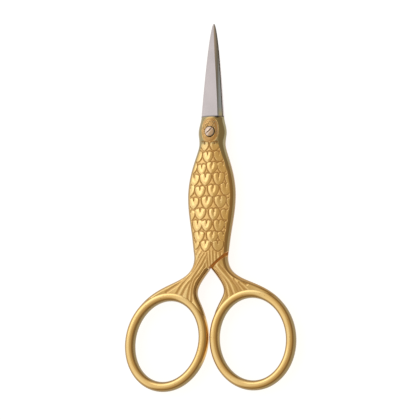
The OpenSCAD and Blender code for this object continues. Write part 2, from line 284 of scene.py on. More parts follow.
def upperShell(name, bow, columns=145, stride=12, rowStep=0.12):
    h = half
    left, right, corner, inner = outlines(bow)
    stopLine = np.array([corner, (0.0, -h["crotch"])])
    easeY = -h["easeFrom"]
    keys = [(0.0, 0.0),
            (lengthNear(left, (-bodyWidth(easeY), easeY)), lengthNear(right, (bodyWidth(easeY), easeY))),
            (lengthNear(left, h["byCorner"]), lengthNear(right, stopLine[0])),
            (lengthNear(left, h["byCrotch"]), lengthNear(right, stopLine[1])),
            (pathLengths(left)[-1], pathLengths(right)[-1])]
    counts = [max(4, int(max(b[0] - a[0], b[1] - a[1]) / rowStep)) for a, b in zip(keys, keys[1:])]
    a, b = rowsBetween(left, right, keys, counts)
    rows, fallStart, fanStart = len(a), sum(counts[:2]), sum(counts[:3])
    row = np.arange(rows)
    turn = np.clip((row - fanStart) / (rows - 1 - fanStart), 0, 1)
    xy = fanBend(bow, a, b, columnShares(columns), turn)
    y = xy[..., 1]
    # distances to the two soft sides: the stop face isn't one of them
    bodyRight = np.vstack([right[right[:, 1] > corner[1]], [[h["tailWidth"], -h["sideTill"]]]])
    shankRight = inner[inner[:, 1] < -h["innerFrom"]]
    dLeft = distanceTo(thinned(left), xy)
    dRight = np.minimum(distanceTo(thinned(bodyRight), xy), distanceTo(thinned(shankRight), xy))
    inShank = smooth(fallStart, fanStart + 0.3 * counts[3], row)[:, None]
    band = mix(h["band"] + h["bossBand"] * np.exp(-(y / h["bossReach"][0]) ** 2), h["shankBand"], inShank)
    # the shank falls from the body's crown to just below the bow's crest
    fall = np.clip((row - fallStart) / (rows - 1 - fallStart), 0, 1)[:, None] ** h["fallPower"]
    crown = mix(h["crown"], h["rimThick"] - h["shankDrop"], fall)
    atBoss = np.exp(-(y / h["bossReach"][1]) ** 4)
    edge = np.minimum(mix(h["edge"], h["crown"] - h["edgeDrop"][0], atBoss), crown - mix(*h["edgeDrop"], fall))
    z = crownHeights(dLeft, dRight, band, edge, crown)
    z -= bevel(h["frontBevel"], h["shoulder"] - y)
    z -= bevel(h["stopBevel"], distanceTo(stopLine, xy)) * (z > 1)
    # the boss's face stands proud of what lies round it
    middle = boss["centre"]
    oval = np.hypot((xy[..., 0] - middle[0]) / boss["wide"], (y - middle[1]) / boss["long"]) - 1
    oval *= boss["ovalScale"]
    z -= boss["proud"] * smooth(0.0, boss["step"], oval) * smooth(*boss["proudFrom"], y)
    # the screw's seat
    r = np.linalg.norm(xy, axis=-1)
    seat = seatFront if bow is frontBow else seatRear
    z = mix(z, np.minimum(z, seat["floor"]), 1 - smooth(seat["radius"], seat["radius"] + 0.09, r))
    points, faces = gridShell(xy, z, h["lap"], stride)
    shell = addPiece(name, points, faces)
    face = smooth(*h["faceLeft"], dLeft - band) * smooth(*h["faceRight"], dRight - band)
    face *= smooth(-0.02, 0.1, r - seat["radius"] - 0.1)
    face *= 1 - smooth(*h["fanEnd"], turn)[:, None]
    markPoints(shell, "face", face)
    # the stippled oval is darker, and painted shade lies in the crevices under the edges and along the stop line
    stain = boss["stain"] * (1 - smooth(*boss["stainRim"], oval)) * smooth(-0.02, 0.05, r - seat["radius"])
    stain = np.maximum(stain, 1 - smooth(0.02, 0.16, distanceTo(stopLine, xy)))
    markPoints(shell, "stain", np.r_[stain.ravel(), creviceShade(xy[:, ::stride]).ravel()])
    # the plate is worn off round the boss
    beside = (1 - face) * smooth(*boss["wornBeside"], y)
    markPoints(shell, "worn", smooth(*boss["wornRim"], oval) * np.maximum(smooth(*boss["wornFrom"], y), beside))
    return shell


def underShell(name, bow, columns=91, stride=9, rowStep=0.13):
    h = half
    left, _, _, inner = outlines(bow)
    start = -h["crotch"] - h["stopGap"] * math.hypot(1, h["stopRise"])
    left, inner = [side[side @ (h["stopRise"], 1) < start] for side in (left, inner)]
    keys = [(0.0, 0.0), (pathLengths(left)[-1], pathLengths(inner)[-1])]
    a, b = rowsBetween(left, inner, keys, [int(max(keys[1]) / rowStep)])
    turn = np.arange(len(a)) / (len(a) - 1)
    xy = fanBend(bow, a, b, columnShares(columns), turn)
    fromStop = distanceTo(np.array([xy[0, 0], xy[0, -1]]), xy)
    dLeft, dRight = distanceTo(thinned(left), xy), distanceTo(thinned(inner), xy)
    crown = mix(h["crown"] - h["underDrop"], h["rimThick"] - h["shankDrop"], turn)[:, None]
    z = crownHeights(dLeft, dRight, h["shankBand"], np.minimum(h["edge"], crown - h["edgeDrop"][1]), crown)
    z -= bevel(h["underBevel"], fromStop)
    points, faces = gridShell(xy, z, -h["lap"], stride)
    points[:, 2] *= -1
    shell = addPiece(name, points, [f[::-1] for f in faces])
    face = smooth(-0.02, 0.12, np.minimum(dLeft, dRight) - h["shankBand"]) * (1 - smooth(*h["fanEnd"], turn)[:, None])
    markPoints(shell, "face", face)
    # painted shade near the stop face and in the crevices along the edges
    lap = creviceShade(xy[:, ::stride])
    lap[0] = h["stopShade"]  # the painted shade on the stop face is kept light
    markPoints(shell, "stain", np.r_[(1 - smooth(0.05, 0.3, fromStop)).ravel(), lap.ravel()])
    return shell


# A node tree and the few calls that wire it
class Wiring:
    def __init__(self, tree):
        self.tree = tree

    def add(self, kind, values=None, **settings):
        node = self.tree.nodes.new(kind)
        for key, value in settings.items():
            setattr(node, key, value)
        for key, value in (values or {}).items():
            self.plug(node.inputs[key], value)
        return node

    def plug(self, socket, value):
        if isinstance(value, bpy.types.NodeSocket):
            self.tree.links.new(value, socket)
        else:
            socket.default_value = value

    def calc(self, operation, *values):
        node = self.tree.nodes.new("ShaderNodeMath")
        node.operation = operation
        for socket, value in zip(node.inputs, values):
            self.plug(socket, value)
        return node.outputs[0]

    def step(self, value, low, high, start=0.0, end=1.0):
        node = self.add("ShaderNodeMapRange", interpolation_type="SMOOTHSTEP")
        for key, entry in zip(("Value", "From Min", "From Max", "To Min", "To Max"), (value, low, high, start, end)):
            self.plug(node.inputs[key], entry)
        return node.outputs["Result"]

    def times(self, a, b):
        return self.calc("MULTIPLY", a, b)

    def plus(self, a, b):
        return self.calc("ADD", a, b)

    def minus(self, a, b):
        return self.calc("SUBTRACT", a, b)

    def vector(self, x, y, z):
        return self.add("ShaderNodeCombineXYZ", {"X": x, "Y": y, "Z": z}).outputs[0]

    def split(self, vector):
        return self.add("ShaderNodeSeparateXYZ", {"Vector": vector}).outputs

    def vectorCalc(self, operation, a, b):
        return self.add("ShaderNodeVectorMath", {0: a, 1: b}, operation=operation).outputs[0]

    def mark(self, attribute):
        return self.add("ShaderNodeAttribute", attribute_name=attribute).outputs["Fac"]

    def store(self, geometry, attribute, value):
        values = {"Geometry": geometry, "Name": attribute, "Value": value}
        return self.add("GeometryNodeStoreNamedAttribute", values, data_type="FLOAT", domain="POINT").outputs[0]

    def named(self, attribute):
        node = self.add("GeometryNodeInputNamedAttribute", {"Name": attribute}, data_type="FLOAT")
        return node.outputs["Attribute"]


def newGeometryTree(name, sockets):
    tree = bpy.data.node_groups.new(name, "GeometryNodeTree")
    tree.interface.new_socket("Geometry", in_out="INPUT", socket_type="NodeSocketGeometry")
    tree.interface.new_socket("Geometry", in_out="OUTPUT", socket_type="NodeSocketGeometry")
    for label, kind in sockets:
        tree.interface.new_socket(label, in_out="INPUT", socket_type="NodeSocket" + kind)
    wires = Wiring(tree)
    return tree, wires, wires.add("NodeGroupInput"), wires.add("NodeGroupOutput")


def finishTree(wires, ending, geometry, material):
    real = wires.add("GeometryNodeRealizeInstances", {"Geometry": geometry})
    paint = wires.add("GeometryNodeSetMaterial", {"Geometry": real.outputs[0], "Material": material})
    wires.plug(ending.inputs[0], paint.outputs[0])


def grow(piece, tree, values):
    modifier = piece.modifiers.new(tree.name, "NODES")
    modifier.node_group = tree
    for item in tree.interface.items_tree:
        if item.item_type == "SOCKET" and item.in_out == "INPUT" and item.name in values:
            modifier[item.identifier] = values[item.name]
    makePlain(piece)


def makePlain(piece):
    bpy.context.view_layer.update()
    graph = bpy.context.evaluated_depsgraph_get()
    mesh = bpy.data.meshes.new_from_object(piece.evaluated_get(graph), preserve_all_data_layers=True, depsgraph=graph)
    piece.modifiers.clear()
    old = piece.data
    piece.data = mesh
    bpy.data.meshes.remove(old)
    mesh.name = piece.name


def softShade(piece, angle=48):
    piece.data.shade_smooth()
    piece.data.set_sharp_from_angle(angle=math.radians(angle))


# Stamped feathers: where each tip lies and how wide it is, row by row from the neck
feathers = {
    "rows": [
        [(-1.38, -4.6, 2.0), (1.22, -4.6, 2.0)],
        [(-3.2, -7.3, 2.3), (-0.4, -7.5, 2.4), (2.45, -7.3, 2.4)],
        [(-4.6, -10.1, 2.5), (-2.05, -10.4, 2.3), (0.6, -10.2, 2.5), (3.5, -10.1, 2.5)],
        [(-4.1, -13.1, 2.6), (-0.95, -13.15, 2.8), (2.45, -13.05, 2.7), (5.2, -13.1, 2.4)],
        [(-5.1, -15.6, 2.3), (-2.4, -16.0, 2.6), (1.0, -16.0, 2.7), (4.25, -15.6, 2.6)],
        [(-4.1, -18.8, 2.6), (-0.55, -18.8, 2.7), (2.95, -18.7, 2.7), (5.6, -18.6, 2.0)],
        [(-5.0, -21.7, 2.3), (-2.3, -21.5, 2.6), (1.3, -21.65, 2.6), (4.3, -21.7, 2.4)],
        [(-3.15, -24.35, 2.5), (-0.6, -24.35, 2.4), (2.5, -24.5, 2.5), (5.0, -24.4, 2.0)],
        [(-2.65, -27.1, 2.5), (0.85, -27.15, 2.6), (3.6, -27.0, 2.2)],
        [(-3.45, -28.6, 1.7), (-0.8, -29.3, 2.5), (2.4, -29.3, 2.4)],
    ],
    "tall": 1.02, "uneven": 0.05, "turn": 0.06, "seed": 7,
    "netDepth": 0.03, "cutDepth": 0.15, "cutWidth": 0.34, "wander": 0.07, "dome": 0.035, "domeWidth": 0.55,
    "wanderScale": 900.0, "on": 0.02, "netZone": (0.9, 1.5), "netRise": 0.7, "cutRise": 0.5, "cutFall": (0.62, 1.35),
}
# Two outlines of a feather, right half, on a width and height of 1
broadFeather = [(0, 0), (0.13, 0.06), (0.27, 0.18), (0.4, 0.36), (0.48, 0.56), (0.5, 0.74), (0.49, 0.88),
                (0.38, 0.93), (0.2, 0.98), (0.12, 0.97), (0.07, 0.76), (0, 0.5)]
slimFeather = [(0, 0), (0.12, 0.05), (0.26, 0.16), (0.38, 0.33), (0.46, 0.54), (0.49, 0.74), (0.47, 0.9),
               (0.36, 0.98), (0.2, 1.0), (0.1, 0.95), (0.06, 0.7), (0, 0.42)]

# Flutes: the lines of the cuts between the ridges, in a half's own frame
flutes = {
    "outside": [
        [(-2.4, -28.6), (-2.95, -29.4), (-3.6, -30.3), (-4.3, -31.4)],
        [(-1.75, -29.6), (-2.46, -30.75), (-3.28, -31.95), (-4.04, -33.2), (-4.6, -34.1)],
        [(-1.06, -30.0), (-1.97, -31.5), (-3.2, -33.5), (-4.5, -35.0), (-5.85, -36.3), (-6.9, -37.3), (-7.7, -38.5)],
        [(-0.46, -30.5), (-1.55, -32.4), (-2.54, -33.8), (-3.5, -35.1), (-4.4, -36.4), (-4.75, -37.4), (-5.2, -39.4)],
        [(-4.9, -36.8), (-5.6, -37.5), (-6.5, -39.0)],
        [(-6.2, -35.9), (-7.5, -36.9), (-8.7, -37.6), (-9.9, -38.3)],
        [(-0.9, -32.6), (-1.1, -33.6), (-1.6, -34.4), (-2.53, -35.1), (-3.4, -35.9), (-4.0, -37.0), (-4.3, -38.3),
         (-4.4, -39.9)],
        [(-0.32, -29.9), (-0.2, -31.5), (-0.1, -33.3)],
        [(0.42, -28.9), (0.53, -31.0), (0.6, -33.2)],
        [(1.26, -29.4), (1.33, -30.8), (1.38, -32.5)],
        [(2.12, -29.6), (2.13, -30.6), (2.15, -31.7)],
        [(3.05, -29.8), (3.07, -30.4), (3.08, -30.9)],
    ],
    "inside": [
        [(-1.9, -33.4), (-2.8, -34.4), (-3.85, -35.55), (-4.95, -36.85), (-5.6, -37.9), (-6.0, -39.1)],
        [(-2.9, -32.9), (-3.8, -34.0), (-5.03, -35.3), (-6.14, -36.55), (-7.1, -37.9), (-7.5, -38.8)],
        [(-4.1, -32.3), (-4.9, -33.65), (-6.1, -35.1), (-7.25, -36.1), (-8.6, -36.9)],
        [(-6.6, -36.5), (-7.45, -37.6), (-8.1, -38.6)],
        [(-8.0, -37.4), (-8.7, -38.0), (-9.4, -38.7)],
        [(-1.35, -33.9), (-2.6, -35.0), (-3.75, -36.3), (-4.45, -37.6), (-4.7, -39.0)],
    ],
    "depth": 0.15, "width": 0.44, "insideDepth": 0.15, "insideWidth": 0.48, "rimFrom": -36.8, "runIn": 1.5,
    "flatShare": 0.15, "hollowShare": 0.5,
}
# The head's seat in the front half and the thread's mouth in the rear one
seatFront = {"radius": 1.24, "floor": 1.5, "bore": 0.83}
seatRear = {"radius": 0.79, "floor": 1.97, "bore": 0.81}
# The oval line round the boss's face, and the beads inside it
boss = {"centre": (-0.08, 0.42), "wide": 2.0, "long": 2.85, "beadRings": (1.58, 1.98, 2.4), "beadStep": 0.44,
        "beadSize": 0.19, "uneven": 0.25, "seed": 3, "proud": 0.28, "step": 0.16, "stain": 0.75,
        "ovalScale": 2.2, "proudFrom": (-3.0, -0.8), "stainRim": (-0.12, 0.02), "wornRim": (0.1, 0.5),
        "wornFrom": (-3.4, -2.6), "wornBeside": (-12.0, -4.0), "ovalPower": 0.85,
        "ringTall": 1.06, "beadsFrom": -0.3, "beadsWithin": 0.87, "sunk": 0.09}


def featherObject(name, side):
    outline = side + [(-x, y) for x, y in side[-2:0:-1]]
    # the outline is a metre wide, and each stamp scales it down
    return addPiece(name, [(x * 1000, y * 1000, 0.0) for x, y in outline], [list(range(len(outline)))])


def lineObject(name, lines):
    points, edges = [], []
    for line in lines:
        line = np.array(line, float)
        if line[-1, 1] < flutes["rimFrom"]:
            run = line[-1] - line[-2]
            line = np.vstack([line, line[-1] + flutes["runIn"] * run / np.linalg.norm(run)])
        fine = thinned(line, 0.5)
        for _ in range(2):
            fine[1:-1] = (fine[:-2] + 2 * fine[1:-1] + fine[2:]) / 4
        edges += [(len(points) + k, len(points) + k + 1) for k in range(len(fine) - 1)]
        points += [(x, y, 0.0) for x, y in fine]
    return addPiece(name, points, [], edges)


def spotObject(name, spots, widths):
    piece = addPiece(name, spots, [])
    markPoints(piece, "wide", widths)
    return piece


def reliefTree():
    sizes = ("Tall", "Uneven", "Turn", "Wander", "Net depth", "Cut depth", "Cut width", "Dome", "Dome width",
             "Flute depth", "Flute width", "Up")
    tree, w, start, ending = newGeometryTree("Stamped relief", [
        *[(label, "Object") for label in ("Tips", "Broad", "Slim", "Lines")],
        *[(label, "Float") for label in sizes], ("Seed", "Int"), ("Metal", "Material")])
    given, f = start.outputs, feathers

    def held(label):
        return w.add("GeometryNodeObjectInfo", {"Object": given[label]}).outputs["Geometry"]

    # feathers stand on their tips
    shapes = w.add("GeometryNodeJoinGeometry")
    for label in ("Slim", "Broad"):
        single = w.add("GeometryNodeGeometryToInstance", {"Geometry": held(label)})
        w.plug(shapes.inputs[0], single.outputs[0])
    index = w.add("GeometryNodeInputIndex").outputs[0]

    def chance(low, high, shift):
        seed = w.plus(given["Seed"], shift)
        node = w.add("FunctionNodeRandomValue", {2: low, 3: high, "ID": index, "Seed": seed}, data_type="FLOAT")
        return node.outputs[1]

    pick = w.calc("ROUND", chance(0.0, 1.0, 1))
    wide = w.times(w.named("wide"), mm)
    spread, reach = w.minus(1.0, given["Uneven"]), w.plus(1.0, given["Uneven"])
    tall = w.times(w.times(wide, given["Tall"]), chance(spread, reach, 2))
    size = w.vector(w.times(wide, chance(spread, reach, 3)), tall, 1.0)
    lean = chance(w.times(given["Turn"], -1.0), given["Turn"], 4)
    turned = w.add("FunctionNodeEulerToRotation", {"Euler": w.vector(0.0, 0.0, lean)})
    stand = w.add("GeometryNodeInstanceOnPoints", {
        "Points": held("Tips"), "Instance": shapes.outputs[0], "Pick Instance": True, "Instance Index": pick,
        "Rotation": turned.outputs[0], "Scale": size})
    stamps = w.add("GeometryNodeRealizeInstances", {"Geometry": stand.outputs[0]}).outputs[0]
    # the plan place of a point, with a cutter's small wander
    x, y, _ = w.split(w.add("GeometryNodeInputPosition").outputs[0])
    flat = w.vector(x, y, 0.0)
    noise = w.add("ShaderNodeTexNoise", {"Vector": flat, "Scale": f["wanderScale"], "Detail": 1.0})
    shift = w.vectorCalc("ADD", noise.outputs["Color"], (-0.5, -0.5, -0.5))
    shift = w.vectorCalc("MULTIPLY", shift, w.vector(given["Wander"], given["Wander"], 0.0))
    moved = w.vectorCalc("ADD", flat, shift)

    def nearness(geometry, target):
        node = w.add("GeometryNodeProximity", {"Geometry": geometry, "Sample Position": moved},
                     target_element=target)
        return w.calc("DIVIDE", node.outputs["Distance"], mm)

    off = nearness(stamps, "FACES")
    line = nearness(held("Lines"), "EDGES")
    # a feather falls towards its outline
    within = w.step(nearness(stamps, "EDGES"), 0.0, given["Dome width"], 1.0, 0.0)
    fallen = w.times(w.times(within, w.calc("LESS_THAN", off, f["on"])), given["Dome"])
    # a cut round each feather, a low net between, and the flutes' cuts
    face = w.named("face")
    width = given["Cut width"]
    inSide = w.step(off, f["on"], w.times(width, f["cutRise"]))
    outSide = w.step(off, *[w.times(width, share) for share in f["cutFall"]], 1.0, 0.0)
    cut = w.times(inSide, outSide)
    zone = w.step(off, *f["netZone"], 1.0, 0.0)
    net = w.times(w.step(off, f["on"], w.times(width, f["netRise"])), zone)
    border = w.times(w.times(w.calc("GREATER_THAN", off, f["on"]), zone), given["Dome"])
    groove = w.step(line, w.times(given["Flute width"], flutes["flatShare"]), given["Flute width"], 1.0, 0.0)
    deep = w.plus(w.times(net, given["Net depth"]), w.times(cut, given["Cut depth"]))
    deep = w.plus(deep, w.plus(fallen, border))
    deep = w.times(w.calc("MAXIMUM", deep, w.times(groove, given["Flute depth"])), face)
    drop = w.times(w.times(deep, -mm), given["Up"])
    pressed = w.add("GeometryNodeSetPosition", {"Geometry": given["Geometry"], "Offset": w.vector(0.0, 0.0, drop)})
    hollow = w.times(w.calc("MAXIMUM", cut, w.times(groove, flutes["hollowShare"])), face)
    low = w.times(w.calc("MAXIMUM", net, groove), face)
    marked = w.store(w.store(pressed.outputs[0], "hollow", hollow), "low", low)
    finishTree(w, ending, marked, given["Metal"])
    return tree


def beadTree():
    tree, w, start, ending = newGeometryTree("Beading", [
        ("Bead size", "Float"), ("Uneven", "Float"), ("Seed", "Int"), ("Metal", "Material")])
    given = start.outputs
    bead = w.add("GeometryNodeMeshIcoSphere", {"Radius": 1.0, "Subdivisions": 2})
    index = w.add("GeometryNodeInputIndex").outputs[0]
    low, high = w.minus(1.0, given["Uneven"]), w.plus(1.0, given["Uneven"])
    grain = w.add("FunctionNodeRandomValue", {2: low, 3: high, "ID": index, "Seed": given["Seed"]},
                  data_type="FLOAT")
    size = w.times(w.times(given["Bead size"], mm), grain.outputs[1])
    beads = w.add("GeometryNodeInstanceOnPoints", {"Points": given["Geometry"], "Instance": bead.outputs[0],
                  "Scale": w.vector(size, size, size)})
    rounded = w.add("GeometryNodeSetShadeSmooth", {"Geometry": beads.outputs[0]})
    finishTree(w, ending, rounded.outputs[0], given["Metal"])
    return tree


def rimTree(soften=0.00012):
    sizes = ("Centre X", "Centre Y", "Long", "Wide", "Lean", "Rim width", "Rim height", "Crest", "Fullness")
    tree, w, start, ending = newGeometryTree("Bow rim", [
        *[(label, "Float") for label in sizes], ("Metal", "Material")])
    given = start.outputs

    def unitCircle(resolution):
        circle = w.add("GeometryNodeCurvePrimitiveCircle", {"Resolution": resolution, "Radius": 1.0})
        x, y, _ = w.split(w.add("GeometryNodeInputPosition").outputs[0])
        return circle.outputs["Curve"], x, y

    curve, x, y = unitCircle(230)
    across, up = w.times(x, given["Wide"]), w.times(y, given["Long"])
    cosLean, sinLean = w.calc("COSINE", given["Lean"]), w.calc("SINE", given["Lean"])
    px = w.plus(w.plus(w.times(across, cosLean), w.times(up, sinLean)), given["Centre X"])
    py = w.plus(w.minus(w.times(up, cosLean), w.times(across, sinLean)), given["Centre Y"])
    oval = w.add("GeometryNodeSetPosition", {"Geometry": curve, "Position": w.vector(px, py, 0.0)})
    upright = w.add("GeometryNodeSetCurveNormal", {"Curve": oval.outputs[0]}, mode="Z_UP")
    profile, x, y = unitCircle(44)

    def full(value):
        pinched = w.calc("POWER", w.calc("ABSOLUTE", value), w.calc("DIVIDE", 2.0, given["Fullness"]))
        return w.times(w.calc("SIGN", value), pinched)

    sideways = w.times(full(x), w.times(given["Rim width"], 0.5))
    tall = w.times(full(y), w.times(given["Rim height"], w.times(given["Crest"], 0.5)))
    limit = w.times(given["Rim height"], 0.5)
    tall = w.calc("SMOOTH_MIN", tall, limit, soften)
    tall = w.calc("SMOOTH_MAX", tall, w.times(limit, -1.0), soften)
    shaped = w.add("GeometryNodeSetPosition", {"Geometry": profile, "Position": w.vector(sideways, tall, 0.0)})
    swept = w.add("GeometryNodeCurveToMesh", {"Curve": upright.outputs[0], "Profile Curve": shaped.outputs[0]})
    finishTree(w, ending, swept.outputs["Mesh"], given["Metal"])
    return tree


def outward(piece):
    mesh = piece.data
    mesh.calc_loop_triangles()
    co = np.empty(len(mesh.vertices) * 3)
    mesh.vertices.foreach_get("co", co)
    tri = np.empty(len(mesh.loop_triangles) * 3, int)
    mesh.loop_triangles.foreach_get("vertices", tri)
    p = co.reshape(-1, 3)[tri.reshape(-1, 3)]
    if np.einsum("ij,ij->i", p[:, 0], np.cross(p[:, 1], p[:, 2])).sum() < 0:
        mesh.flip_normals()


def joined(name, pieces):
    shape = bmesh.new()
    for piece in pieces:
        shape.from_mesh(piece.data)
    mesh = bpy.data.meshes.new(name)
    shape.to_mesh(mesh)
    shape.free()
    mesh.materials.append(pieces[0].data.materials[0])
    for piece in pieces:
        bpy.data.objects.remove(piece)
    return newObject(name, mesh)


def cutAway(piece, tool):
    modifier = piece.modifiers.new("Cut", "BOOLEAN")
    modifier.object, modifier.operation, modifier.solver = tool, "DIFFERENCE", "MANIFOLD"
    makePlain(piece)
    bpy.data.objects.remove(tool)


def setInPlace(piece, rear):
    lift = Matrix.Translation((0, 0, half["thick"] * mm))
    turn = Matrix.Rotation(math.pi, 4, "Y") if rear else Matrix.Identity(4)
    piece.data.transform(lift @ turn)
    piece.data.update()


def tubeFaces(rows, sides):
    faces = []
    for k in range(rows - 1):
        for j in range(sides):
            a, b = k * sides + j, k * sides + (j + 1) % sides
            faces.append([a, b, b + sides, a + sides])
    faces.append(list(range(sides))[::-1])
    faces.append(list(range((rows - 1) * sides, rows * sides)))
    return faces


def lathe(name, profile, sides=72):
    angle = np.arange(sides) * 2 * np.pi / sides
    points = [(r * math.cos(a), r * math.sin(a), z) for r, z in profile for a in angle]
    return addPiece(name, points, tubeFaces(len(profile), sides))


# Metals. Effects that several use are groups that put out only colours and masks
def newShaderGroup(name, inputs, outputs):
    group = bpy.data.node_groups.new(name, "ShaderNodeTree")
    for label, kind, value in inputs:
        socket = group.interface.new_socket(label, in_out="INPUT", socket_type="NodeSocket" + kind)
        if value is not None:
            socket.default_value = value
    for label, kind in outputs:
        group.interface.new_socket(label, in_out="OUTPUT", socket_type="NodeSocket" + kind)
    wires = Wiring(group)
    return group, wires, wires.add("NodeGroupInput").outputs, wires.add("NodeGroupOutput").inputs


def pittingGroup():
    group, w, given, out = newShaderGroup("Pits and specks", [
        ("Vector", "Vector", None), ("Scale", "Float", 900.0), ("Share", "Float", 0.2)],
        [("Pits", "Float")])
    cells = w.add("ShaderNodeTexVoronoi", {"Vector": given["Vector"], "Scale": given["Scale"]})
    few = w.add("ShaderNodeSeparateColor", {"Color": cells.outputs["Color"]})
    kept = w.calc("LESS_THAN", few.outputs[0], given["Share"])
    spot = w.step(cells.outputs["Distance"], 0.08, 0.3, 1.0, 0.0)
    w.plug(out["Pits"], w.times(kept, spot))
    return group


def brushingGroup():
    group, w, given, out = newShaderGroup("Fine polishing lines", [
        ("Vector", "Vector", None), ("Stretch", "Vector", (1.0, 1.0, 1.0)), ("Scale", "Float", 2000.0)],
        [("Lines", "Float"), ("Cloud", "Float")])
    stretched = w.vectorCalc("MULTIPLY", given["Vector"], given["Stretch"])
    lines = w.add("ShaderNodeTexNoise", {"Vector": stretched, "Scale": given["Scale"], "Detail": 3.0,
                  "Roughness": 0.6})
    cloud = w.add("ShaderNodeTexNoise", {"Vector": given["Vector"], "Scale": 260.0, "Detail": 3.0})
    w.plug(out["Lines"], lines.outputs["Fac"])
    w.plug(out["Cloud"], cloud.outputs["Fac"])
    return group


def flankingGroup():
    group, w, given, out = newShaderGroup("Steep flanks", [("Low", "Float", 0.35), ("High", "Float", 0.85)],
                                          [("Steep", "Float")])
    # a mask from the surface's facing, used to lay painted shade on steep faces
    facing = w.split(w.add("ShaderNodeTexCoord").outputs["Normal"])[2]
    w.plug(out["Steep"], w.step(w.calc("ABSOLUTE", facing), given["Low"], given["High"], 1.0, 0.0))
    return group


pitting = pittingGroup()
flanking = flankingGroup()
brushing = brushingGroup()


def newMaterial(name):
    material = bpy.data.materials.new(name)
    material.use_nodes = True
    material.node_tree.nodes.clear()
    w = Wiring(material.node_tree)
    shader = w.add("ShaderNodeBsdfPrincipled")
    ending = w.add("ShaderNodeOutputMaterial")
    w.plug(ending.inputs["Surface"], shader.outputs[0])
    place = w.add("ShaderNodeTexCoord").outputs["Object"]
    return material, w, shader, place


def blendColour(w, factor, a, b):
    node = w.add("ShaderNodeMix", data_type="RGBA", blend_type="MIX")
    w.plug(node.inputs[0], factor)
    w.plug(node.inputs[6], a)
    w.plug(node.inputs[7], b)
    return node.outputs[2]


def layColours(w, base, layers):
    for mask, cover, colour in layers:
        base = blendColour(w, w.times(mask, cover), base, colour)
    return base


def useGroup(w, group, values):
    node = w.add("ShaderNodeGroup", node_tree=group)
    for key, value in values.items():
        w.plug(node.inputs[key], value)
    return node.outputs


# The flank, amber and grey colours stand for painted shade on the sloped and steep sides
gold = {
    "polished": (0.98, 0.70, 0.30, 1.0), "matt": (0.93, 0.60, 0.23, 1.0), "patina": (0.50, 0.26, 0.08, 1.0),
    "warm": (0.95, 0.61, 0.21, 1.0), "amber": (0.42, 0.245, 0.085, 1.0), "flankShade": (0.27, 0.20, 0.09, 1.0),
    "greyNearBlades": (0.36, 0.35, 0.30, 1.0), "stain": (0.60, 0.32, 0.12, 1.0), "worn": (0.33, 0.28, 0.15, 1.0),
    "roughness": 0.1, "lowRoughness": 0.3, "faceRoughness": 0.1, "lineRoughness": 0.1,
    "lineScale": 2600.0, "pitScale": 1500.0, "pitShare": 0.18, "bump": 0.12, "bumpDepth": 0.00004,
    # how much each layer covers, from the first laid to the last
    "cover": {"cloud": 0.5, "low": 0.6, "slope": 0.95, "steep": 0.9, "worn": 0.85, "hollow": 0.8, "pits": 0.5,
              "stain": 0.9},
    "slope": {"Low": 0.8, "High": 1.0}, "steep": {"Low": 0.42, "High": 0.88}, "upright": {"Low": 0.08, "High": 0.4},
    # places in metres: the painted flank shade turns grey by the blades and amber along the shanks, and a painted
    # reflection of the other bow lies where the bows meet
    "greyNearBladesFrom": (-0.006, 0.0), "shankFrom": (-0.042, -0.038), "shankTill": (-0.036, -0.030),
    "bowReflectionWidth": (0.001, 0.003), "bowReflectionTill": (-0.047, -0.042), "bowReflectionCover": 0.7,
}


def goldMaterial():
    g, cover = gold, gold["cover"]
    material, w, shader, place = newMaterial("goldPlate")
    low, face = w.mark("low"), w.mark("face")
    fine = useGroup(w, brushing, {"Vector": place, "Scale": g["lineScale"]})
    pits = useGroup(w, pitting, {"Vector": place, "Scale": g["pitScale"], "Share": g["pitShare"]})["Pits"]
    slope, steep, upright = [useGroup(w, flanking, g[key])["Steep"] for key in ("slope", "steep", "upright")]
    acrossX, alongY, _ = w.split(place)
    # the steep flanks get painted shade, grey near the blades and amber in the shanks' bends
    side = blendColour(w, w.step(alongY, *g["greyNearBladesFrom"]), g["flankShade"], g["greyNearBlades"])
    onShank = w.times(w.step(alongY, *g["shankTill"], 1.0, 0.0), w.step(alongY, *g["shankFrom"]))
    side = blendColour(w, w.times(onShank, w.minus(1.0, upright)), side, g["amber"])
    # and a painted reflection of the other bow, in warm gold, where the bows meet
    bowReflection = w.times(w.step(w.calc("ABSOLUTE", acrossX), *g["bowReflectionWidth"], 1.0, 0.0),
                      w.step(alongY, *g["bowReflectionTill"], 1.0, 0.0))
    side = blendColour(w, w.times(bowReflection, g["bowReflectionCover"]), side, g["warm"])
    # sloped sides off the face and steep flanks are darkened with painted shade
    base = layColours(w, g["polished"], [
        (w.step(fine["Cloud"], 0.35, 0.65), cover["cloud"], g["warm"]),
        (low, cover["low"], g["matt"]),
        (w.times(slope, w.minus(1.0, face)), cover["slope"], g["amber"]),
        (steep, cover["steep"], side),
        (w.mark("worn"), cover["worn"], g["worn"]),
        (w.mark("hollow"), cover["hollow"], g["patina"]),
        (pits, cover["pits"], g["patina"]),
        # the stain mark also holds painted shade in the crevices and by the stop
        (w.mark("stain"), cover["stain"], g["stain"])])
    w.plug(shader.inputs["Base Color"], base)
    shader.inputs["Metallic"].default_value = 1.0
    rough = w.plus(g["roughness"], w.times(low, g["lowRoughness"] - g["roughness"]))
    rough = w.plus(rough, w.times(w.minus(fine["Lines"], 0.5), g["lineRoughness"]))
    w.plug(shader.inputs["Roughness"], w.plus(rough, w.times(face, g["faceRoughness"])))
    height = w.minus(w.times(fine["Lines"], 0.25), pits)
    bump = w.add("ShaderNodeBump", {"Strength": g["bump"], "Distance": g["bumpDepth"], "Height": height})
    w.plug(shader.inputs["Normal"], bump.outputs[0])
    return material


